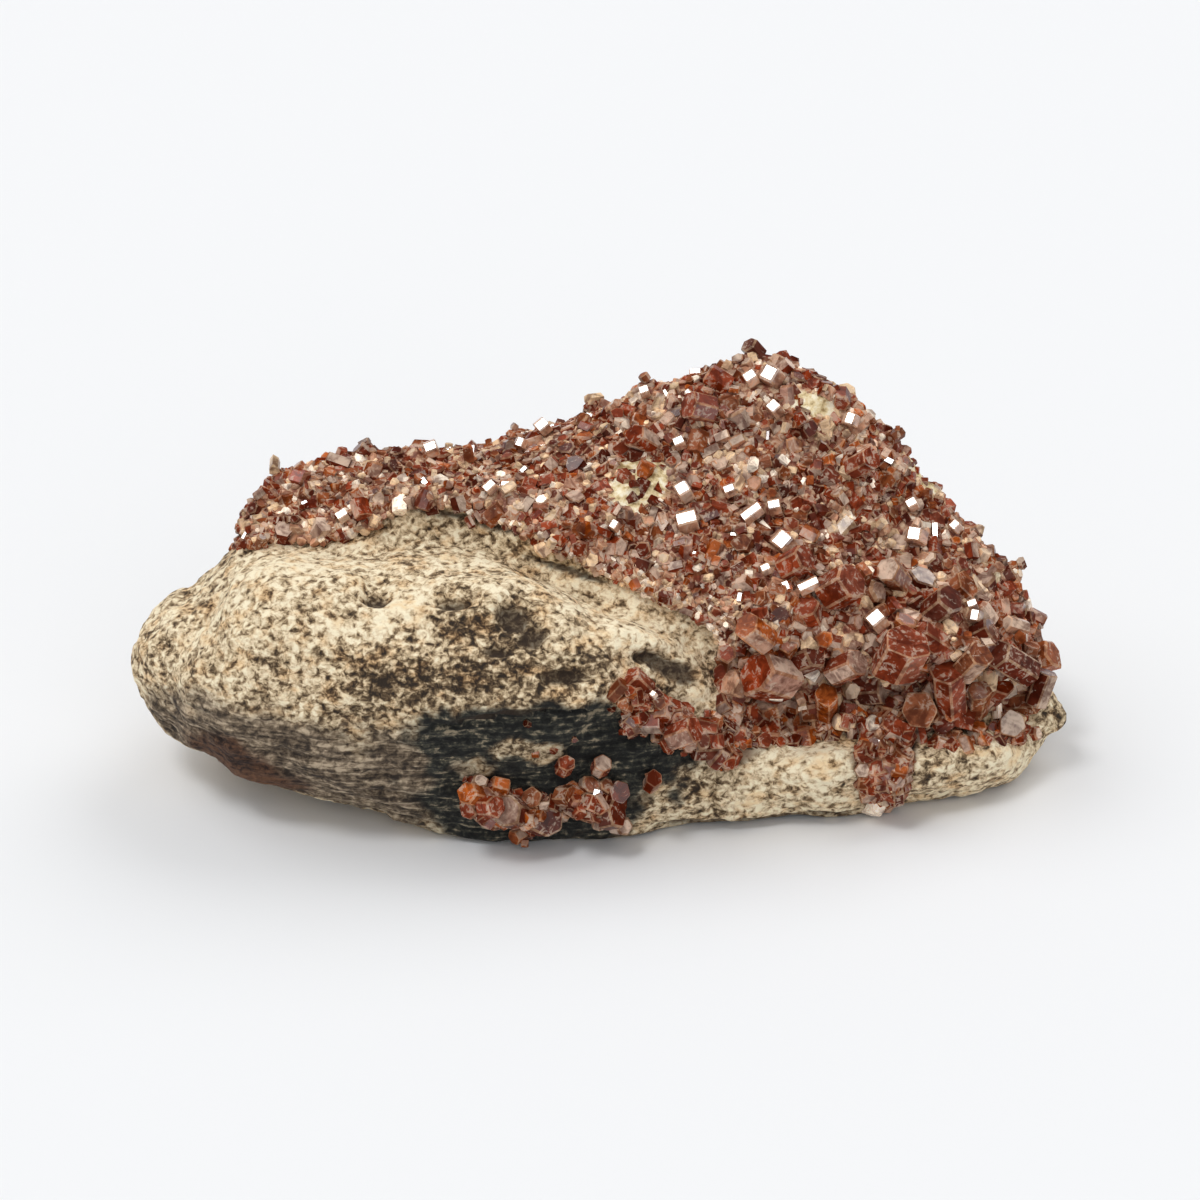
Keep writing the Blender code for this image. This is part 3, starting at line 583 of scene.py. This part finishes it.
def make_bed(name, nodes, sunk, smoothing, by_area, material, rock):
    """The ground that crystals stand on, in place of solids. by_area is true on the druse, whose tones vary."""
    obj, points, normals = remeshed(name, nodes, smoothing)
    mesh = obj.data
    inner = np.array([rock.ray_cast(Vector(p - n * 0.5), Vector(n), 2.0)[0] is not None
                      for p, n in zip(points, normals)])
    lumps = 0.25 * layered(points, 3.0, 2, LUMP_NOISE) + 0.12 * noise(points, 1.0, FINE_LUMP_NOISE)
    lumps = lumps - sunk * (1 - 0.25 * edge_on(normals))
    moved = np.where(inner, BED_ROOTED, lumps)
    moved = smoothed(mesh, moved[:, None] * [[1, 1, 1]], 3)[:, :1]
    points = points + normals * moved
    points[:, 2] = np.maximum(points[:, 2], 0.0)
    set_points(mesh, points)
    _, normals = mesh_arrays(mesh)
    put(mesh, "yellow", patches(points, normals))
    put(mesh, "pale", area_values(points, normals)[1] if by_area else np.zeros(len(points)))
    mesh.shade_smooth()
    mesh.materials.clear()
    mesh.materials.append(material)
    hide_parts(*nodes)
    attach(obj, BODY)
    return obj


def surface_of(obj):
    """A search tree over a piece, in millimetres."""
    points, _ = mesh_arrays(obj.data)
    return BVHTree.FromPolygons([Vector(p) for p in points], [p.vertices[:] for p in obj.data.polygons])


def unit(vectors):
    return vectors / np.linalg.norm(vectors, axis=1)[:, None]


def crossways(axes):
    """Two directions at right angles to each axis and to each other."""
    helper = np.where(np.abs(axes[:, 2:]) < 0.9, [[0, 0, 1]], [[1, 0, 0]])
    first = unit(np.cross(helper, axes))
    return first, np.cross(axes, first)


def side_turns(axes, facing):
    """How prisms along these axes turn about them for one side of each to face this way."""
    first, second = crossways(axes)
    return np.arctan2(second @ facing, first @ facing) - math.pi / 6


def tones_with_sheen(tints, faces, rng, sheen_share):
    """A tone for each face of each crystal, near the crystal's own and lighter or darker at random as painted
    shading; a share of its faces is paler with painted sheen.
    """
    shape = (len(tints), faces, 1)
    # The chosen faces get painted sheen, and each face is made lighter or darker at random as painted shading.
    chosen = rng.random(shape) < np.reshape(sheen_share, (-1, 1, 1))
    sheen = np.where(chosen, rng.uniform(0.3, 0.9, shape), rng.uniform(0.0, 0.06, shape))
    return (tints[:, None] * (1 - sheen) + SHEEN_TONE * sheen) * rng.uniform(0.75, 1.25, shape)


def prism_points(centres, axes, turns, radii, lengths, rng, cut, bevels, uneven, glossy):
    """The corners of prisms, as an array of crystal, ring from foot to tip, corner and axis."""
    count = len(centres)
    bevel = rng.uniform(*bevels, count)
    drop = bevel * radii * rng.uniform(0.6, 1.2, count)
    corner_angles = turns[:, None] + np.arange(6) * math.tau / 6
    spread = uneven * rng.uniform(-1, 1, (count, 6))
    spread[glossy] = 0.0
    reach = radii[:, None] * (1 + spread)
    corners = np.stack([np.cos(corner_angles) * reach, np.sin(corner_angles) * reach], axis=2)
    if cut:
        before, after = np.roll(corners, 1, axis=1), np.roll(corners, -1, axis=1)
        corners = np.stack([corners + (before - corners) * cut, corners + (after - corners) * cut], axis=2)
        corners = corners.reshape(count, 12, 2)
    half = lengths / 2
    whole = np.ones(count)
    rims = [(1.0 - bevel, -half), (whole, -half + drop), (whole, half - drop), (1.0 - bevel, half)]
    if not cut:
        rims = rims[1:]  # the foot, which is out of sight, has no bevel
    first, second = crossways(axes)
    rings = []
    for share, height in rims:
        flat = corners * share[:, None, None]
        ring = flat[..., :1] * first[:, None] + flat[..., 1:] * second[:, None]
        rings.append(centres[:, None] + ring + (height[:, None] * axes)[:, None])
    points = np.stack(rings, axis=1)
    points[..., 2] += np.maximum(0.0, CLEARANCE - points[..., 2].min(axis=(1, 2)))[:, None, None]
    return points


def prism_faces(count, rings, sides):
    """The corners of every face and the number of them: all crystals' sides first, and then their ends."""
    i = np.arange(sides)
    j = (i + 1) % sides
    quads = np.concatenate([np.stack([k * sides + i, k * sides + j, (k + 1) * sides + j, (k + 1) * sides + i],
                                     axis=1) for k in range(rings - 1)])
    caps = np.stack([i[::-1], (rings - 1) * sides + i])
    starts = (np.arange(count) * rings * sides)[:, None, None]
    loops = np.concatenate([(quads + starts).ravel(), (caps + starts).ravel()])
    return loops, np.concatenate([np.full(count * len(quads), 4), np.full(count * 2, sides)])


def prism_tones(tints, rings, sides, rng, cut, sheen_share):
    """A tone for every face, in the order of prism_faces. Bevels and cut edges are a little paler."""
    edge_tone = tints * 0.7 + TAN * 0.3
    wide = (np.arange(sides) % 2 == 1) if cut else np.ones(sides, bool)
    face = np.where(wide[None, :, None], tones_with_sheen(tints, sides, rng, sheen_share), edge_tone[:, None])
    rim = np.broadcast_to(edge_tone[:, None], (len(tints), sides, 3))
    upright = 1 if cut else 0
    bands = [face if k == upright else rim for k in range(rings - 1)]
    ends = tones_with_sheen(tints, 2, rng, sheen_share)
    return np.concatenate([np.concatenate(bands, axis=1).reshape(-1, 3), ends.reshape(-1, 3)])


def prisms(name, centres, axes, turns, radii, lengths, tints, rng, material, cut, bevels, uneven, sheen_share,
           glossy=None):
    """Bevelled six-sided prisms as one piece.

    cut is how much of each upright edge is cut off flat, bevels the range of the bevels' breadth over the
    radius and uneven how far corners stray; the argument after uneven is the share of faces with painted sheen.
    The crystals in glossy are even and mirror light fully.
    """
    count = len(centres)
    if glossy is None:
        glossy = np.zeros(count, bool)
    points = prism_points(centres, axes, turns, radii, lengths, rng, cut, bevels, uneven, glossy)
    _, rings, sides, _ = points.shape
    loops, sizes = prism_faces(count, rings, sides)
    colours = prism_tones(tints, rings, sides, rng, cut, sheen_share)

    mesh = bpy.data.meshes.new(name)
    mesh.vertices.add(count * rings * sides)
    mesh.loops.add(len(loops))
    mesh.polygons.add(len(sizes))
    mesh.loops.foreach_set("vertex_index", loops)
    mesh.polygons.foreach_set("loop_start", np.concatenate([[0], np.cumsum(sizes)[:-1]]))
    mesh.polygons.foreach_set("loop_total", sizes)
    set_points(mesh, points.reshape(-1, 3))
    mesh.validate()
    mesh.shade_flat()
    tone = mesh.attributes.new("tint", "FLOAT_COLOR", "FACE")
    colours = np.concatenate([colours, np.ones((len(colours), 1))], axis=1)
    tone.data.foreach_set("color", colours.astype(np.float32).ravel())
    shiny = rng.random(len(sizes)) < SHINY
    gloss = np.where(shiny, rng.uniform(0.2, 0.6, len(sizes)), rng.uniform(0.0, 0.07, len(sizes)))
    mirrors = np.concatenate([np.repeat(glossy, (rings - 1) * sides), np.repeat(glossy, 2)])
    gloss = np.where(mirrors, 1.0, gloss)
    mesh.attributes.new("gloss", "FLOAT", "FACE").data.foreach_set("value", gloss.astype(np.float32))
    mesh.materials.append(material)
    obj = bpy.data.objects.new(name, mesh)
    bpy.context.scene.collection.objects.link(obj)
    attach(obj, BODY)
    return obj


def samples(obj, count, rng, rock):
    """Random places on a bed, with their normals, apart from those near the floor or close before the rock."""
    mesh = obj.data
    points, _ = mesh_arrays(mesh)
    mesh.calc_loop_triangles()
    corners = np.empty(len(mesh.loop_triangles) * 3, int)
    mesh.loop_triangles.foreach_get("vertices", corners)
    a, b, c = (points[corners.reshape(-1, 3)[:, k]] for k in range(3))
    cross = np.cross(b - a, c - a)
    area = np.linalg.norm(cross, axis=1)
    chosen = rng.choice(len(area), size=count, p=area / area.sum())
    s, t = np.sqrt(rng.random(count))[:, None], rng.random(count)[:, None]
    places = a[chosen] * (1 - s) + b[chosen] * s * (1 - t) + c[chosen] * s * t
    normals = unit(cross[chosen])
    free = np.array([rock.ray_cast(Vector(p + n * 0.05), Vector(n), ROCK_ROOM)[0] is None
                     for p, n in zip(places, normals)])
    return picked(free & (places[:, 2] > FLOOR_ROOM), places, normals)


def picked(kept, *arrays):
    """The same rows of several arrays."""
    return tuple(array[kept] for array in arrays)


def thinned(points, radii, taken, room):
    """The indices of the points kept, such that none is nearer to another than room times both their radii."""
    tree = KDTree(len(points))
    for k, point in enumerate(points):
        tree.insert(point, k)
    tree.balance()
    widest = radii.max()
    free = np.ones(len(points), bool)

    def clear_round(place, radius):
        for _, k, distance in tree.find_range(place, room * (radius + widest)):
            if distance < room * (radius + radii[k]):
                free[k] = False

    for place, radius in taken:
        clear_round(place, radius)
    kept = []
    for k in range(len(points)):
        if free[k]:
            kept.append(k)
            clear_round(points[k], radii[k])
            taken.append((points[k], radii[k]))
    return np.array(kept, int)


def tone_of(count, pale_share, rng):
    """A tone for each crystal; pale_share is the chance of a pale one."""
    dark = np.array([DEEP, DEEP, RED, RED, RED, RED, BROWN, BROWN, ORANGE])[rng.integers(0, 9, count)]
    pale = np.array([ROSE, ROSE, TAN, TAN, PALE])[rng.integers(0, 5, count)]
    tint = np.where((rng.random(count) < pale_share)[:, None], pale, dark)
    return tint * rng.uniform(0.75, 1.25, (count, 1))


def area_values(points, normals):
    """The size and the pale share of the crystals at points of the druse."""
    places = front_view(points)
    facing = faces_view(normals)
    size, pale = np.ones(len(points)), np.full(len(points), DRUSE_PALE)
    for *area, area_size, area_pale in DRUSE_AREAS:
        share = blob(places, *area, 0.25) * facing
        size = size * (1 - share) + area_size * share
        pale = pale * (1 - share) + area_pale * share
    return size * (1 - 0.35 * edge_on(normals)), pale


def tilted(normals, spread, rng):
    """Axes that lean away from normals by up to about spread, as a share of the normal."""
    wander = unit(rng.normal(size=normals.shape))
    axes = unit(normals + wander * rng.uniform(0, spread, (len(normals), 1)))
    return np.where((axes * normals).sum(axis=1)[:, None] < 0, -axes, axes)


def grow(prefix, bed, grades, spread, by_area, taken, rng, rock, material):
    """Fills a bed with crystals, coarse ones first. They lean by spread; by_area is true on the druse."""
    for name, tries, least, most, room, stubby, cut, paler in grades:
        points, normals = samples(bed, tries, rng, rock)
        if by_area:
            size, pale = area_values(points, normals)
        else:
            size, pale = np.ones(len(points)), np.full(len(points), CLUSTER_PALE)
        radii = rng.uniform(least, most, len(points)) * size
        # Where the front view sees the bed edge on, large crystals would stand out past the outline.
        kept = edge_on(normals) < 1.5 - 1.5 * least
        points, normals, radii, pale = picked(kept, points, normals, radii, pale)
        bareness = 1.0 if least < 0.4 else 0.3
        kept = patches(points, normals) <= rng.uniform(0.1, 1.0, len(points)) * bareness
        points, normals, radii, pale = picked(kept, points, normals, radii, pale)
        kept = thinned(points, radii, taken, room)
        points, normals, radii, pale = picked(kept, points, normals, radii, pale)
        # A crystal that points at the viewer takes its second axis, because most show their sides.
        axes, others = tilted(normals, spread, rng), tilted(normals, spread, rng)
        axes = np.where(np.abs(axes @ EYEWARD)[:, None] > 0.7, others, axes)
        turns = rng.uniform(0, 1, len(points))
        sparkling = (rng.random(len(points)) < SPARKLING) & (normals @ GLINTWARD > 0.4) & (radii < 0.6)
        axes[sparkling] = unit(np.cross(rng.normal(size=(sparkling.sum(), 3)), GLINTWARD))
        turns[sparkling] = side_turns(axes[sparkling], GLINTWARD)
        lengths = radii * rng.uniform(*stubby, len(points))
        # How far the tip stands out of the bed. The centre lies straight beneath it.
        upright = (axes * normals).sum(axis=1)
        lean = np.sqrt(np.maximum(0, 1 - upright ** 2))
        proud = radii * (rng.uniform(0.45, 1.05, len(points)) - 0.7 * lean - 0.4 * edge_on(normals))
        centres = points + normals * (proud - lengths / 2 * upright)[:, None]
        centres[sparkling] = (points + normals * (0.25 * radii)[:, None])[sparkling]
        light = np.maximum(ramp(noise(points, 2.4, LIGHT_NOISE), -0.5, 0.5), pale - 0.3)
        tints = tone_of(len(points), pale * paler * (0.3 + 1.4 * light), rng)
        # 0.05 + 0.4 * light is the share of faces with painted sheen.
        prisms(prefix + name, centres, axes, turns, radii, lengths, tints, rng, material, cut, GROWN_BEVELS,
               GROWN_UNEVEN, 0.05 + 0.4 * light, sparkling)


def sight(surface, right, up):
    """Where the front view's line of sight at (right, up) meets a surface."""
    aim = TARGET + Vector((right, 0, 0)) + VIEW_UP * up
    point, normal, _, _ = surface.ray_cast(EYE, (aim - EYE).normalized())
    return point, normal


def make_coarse(name, spots, glints, surface, rng, material, taken):
    """Coarse crystals, and those with a face that mirrors the key light."""
    centres, axes, radii, lengths, tints, turns = [], [], [], [], [], []
    for right, up, radius, length, lean_right, lean_forward, tone in spots:
        point, normal = sight(surface, right, up)
        if point is None:
            continue
        upright = Vector((math.tan(math.radians(lean_right)), -math.tan(math.radians(lean_forward)), 1.0))
        axis = (normal * 0.4 + upright.normalized()).normalized()
        centres.append(point)
        axes.append(axis)
        radii.append(radius)
        lengths.append(length)
        tints.append(TONES[tone])
        turns.append(rng.uniform(0, 1))
        taken.append((point, radius * COARSE_ROOM))
    for right, up, width, length, turn in glints:
        point, normal = sight(surface, right, up)
        if point is None:
            continue
        facing = (GLINT + Vector(rng.uniform(-0.03, 0.03, 3))).normalized()
        side = facing.cross(Vector((0, 1, 0))).normalized()
        along = facing.cross(side)
        angle = math.radians(turn)
        axis = side * math.cos(angle) + along * math.sin(angle)
        depth = width * math.cos(math.pi / 6)
        centres.append(point + normal * GLINT_RAISED - facing * (depth * 0.85 * GLINT_SIZE))
        turns.append(side_turns(np.array([axis]), np.array(facing))[0])
        axes.append(axis)
        radii.append(width * GLINT_SIZE)
        lengths.append(length * GLINT_SIZE + 0.28 * width)
        tints.append(ROSE)
        taken.append((point, width * COARSE_ROOM))
    glossy = np.arange(len(radii)) >= len(radii) - len(glints)
    prisms(name, *(np.array(values) for values in (centres, axes, turns, radii, lengths, tints)), rng, material,
           **COARSE_STYLE, glossy=glossy)


def nearest_sight(surfaces, right, up):
    """The first of the surfaces that the front view's line of sight at (right, up) meets."""
    hits = [hit for hit in (sight(surface, right, up) for surface in surfaces) if hit[0] is not None]
    return min(hits, key=lambda hit: (hit[0] - EYE).length, default=(None, None))


def strew(surfaces, rng, material):
    """Crystals that stand past the crust's edge, and lone ones on the rock."""
    spots = []
    for right, up, half_width, half_height, turn, count, least, most in STREWN:
        c, s = math.cos(math.radians(turn)), math.sin(math.radians(turn))
        for _ in range(count):
            way, share = rng.uniform(0, math.tau), math.sqrt(rng.random())
            x, y = math.cos(way) * share * half_width, math.sin(way) * share * half_height
            spots.append((right + x * c - y * s, up + x * s + y * c, rng.uniform(least, most)))
    spots += STRAY
    centres, normals, radii = [], [], []
    for right, up, radius in spots:
        point, normal = nearest_sight(surfaces, right, up)
        if point is None:
            continue
        centres.append(point - normal * (radius * 0.2))
        normals.append(normal)
        radii.append(radius)
    radii = np.array(radii)
    count = len(radii)
    axes, turns = tilted(np.array(normals), 2.0, rng), rng.uniform(0, 1, count)
    lengths = radii * rng.uniform(1.6, 2.4, count)
    tints = tone_of(count, STREWN_PALE, rng)
    prisms("crystals_strewn", np.array(centres), axes, turns, radii, lengths, tints, rng, material,
           **STREWN_STYLE)


def make_single(number, rng, material):
    """A crystal that stands by itself, in the middle of its CAD node's box."""
    low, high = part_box(f"single_crystal_{number}")
    middle = np.array([(low + high) / 2 / MM])
    piece = prisms(f"single_{number}", middle, unit(np.array([[0.2, -0.6, 0.8]])), np.array([0.3]),
                   np.array([SINGLE_RADIUS]), np.array([SINGLE_LENGTH]), np.array([RED]), rng, material,
                   **SINGLE_STYLE)
    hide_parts(f"single_crystal_{number}")


def make_camera(scene):
    camera_data = bpy.data.cameras.new("front_camera")
    camera_data.sensor_width = SENSOR
    camera_data.lens = LENS
    camera_data.clip_start = 0.01
    camera = bpy.data.objects.new("front_camera", camera_data)
    camera.location = EYE * MM
    camera.rotation_euler = (math.pi / 2 - ELEVATION, 0, 0)
    scene.collection.objects.link(camera)
    scene.camera = camera


def make_floor(scene):
    floor_mesh = bpy.data.meshes.new("floor")
    corners = [(x * FLOOR_HALF, y * FLOOR_HALF, FLOOR_LEVEL) for x, y in ((-1, -1), (1, -1), (1, 1), (-1, 1))]
    floor_mesh.from_pydata(corners, [], [(0, 1, 2, 3)])
    floor = bpy.data.objects.new("floor", floor_mesh)
    scene.collection.objects.link(floor)
    paint = Surface("floor_paint", Roughness=1.0, Base_Color=FLOOR_PAINT, Specular_IOR_Level=0.0)
    floor_mesh.materials.append(paint.material)


def make_light(scene):
    sky = bpy.data.worlds.new("studio")
    sky.use_nodes = True
    background = sky.node_tree.nodes["Background"]
    background.inputs["Color"].default_value = (1.0, 1.0, 1.0, 1.0)
    background.inputs["Strength"].default_value = SKY_STRENGTH
    scene.world = sky
    for k, (towards, breadth, strength) in enumerate(LIGHTS):
        light_data = bpy.data.lights.new(f"light_{k}", "SUN")
        light_data.energy = strength
        light_data.angle = math.radians(breadth)
        light = bpy.data.objects.new(f"light_{k}", light_data)
        light.rotation_euler = towards.to_track_quat("Z", "Y").to_euler()
        scene.collection.objects.link(light)


scene = bpy.context.scene
scene.view_settings.view_transform = "Standard"
make_camera(scene)
make_floor(scene)
make_light(scene)
rng = np.random.default_rng(SEED)
rock = make_rock()
rock_surface = surface_of(rock)
ground = bed_material()
crystal = crystal_material()
crust = make_bed("druse_bed", ["vanadinite_crust"], DRUSE_SUNK, DRUSE_SMOOTHING, True, ground, rock_surface)
crust_surface = surface_of(crust)
taken = []
make_coarse("crystals_coarse", COARSE, GLINTS, crust_surface, rng, crystal, taken)
grow("", crust, GRADES, DRUSE_SPREAD, True, taken, rng, rock_surface, crystal)
strew([rock_surface, crust_surface], rng, crystal)
for cluster, spots, glints in (("front_cluster", FRONT, FRONT_GLINTS), ("foot_cluster", FOOT, FOOT_GLINTS)):
    bed = make_bed(cluster + "_bed", [cluster], CLUSTER_SUNK, CLUSTER_SMOOTHING, False, ground, rock_surface)
    taken = []
    make_coarse(cluster + "_coarse", spots, glints, surface_of(bed), rng, crystal, taken)
    grow(cluster + "_", bed, CLUSTER_GRADES, CLUSTER_SPREAD, False, taken, rng, rock_surface, crystal)
for number in (1, 2, 3):
    make_single(number, rng, crystal)
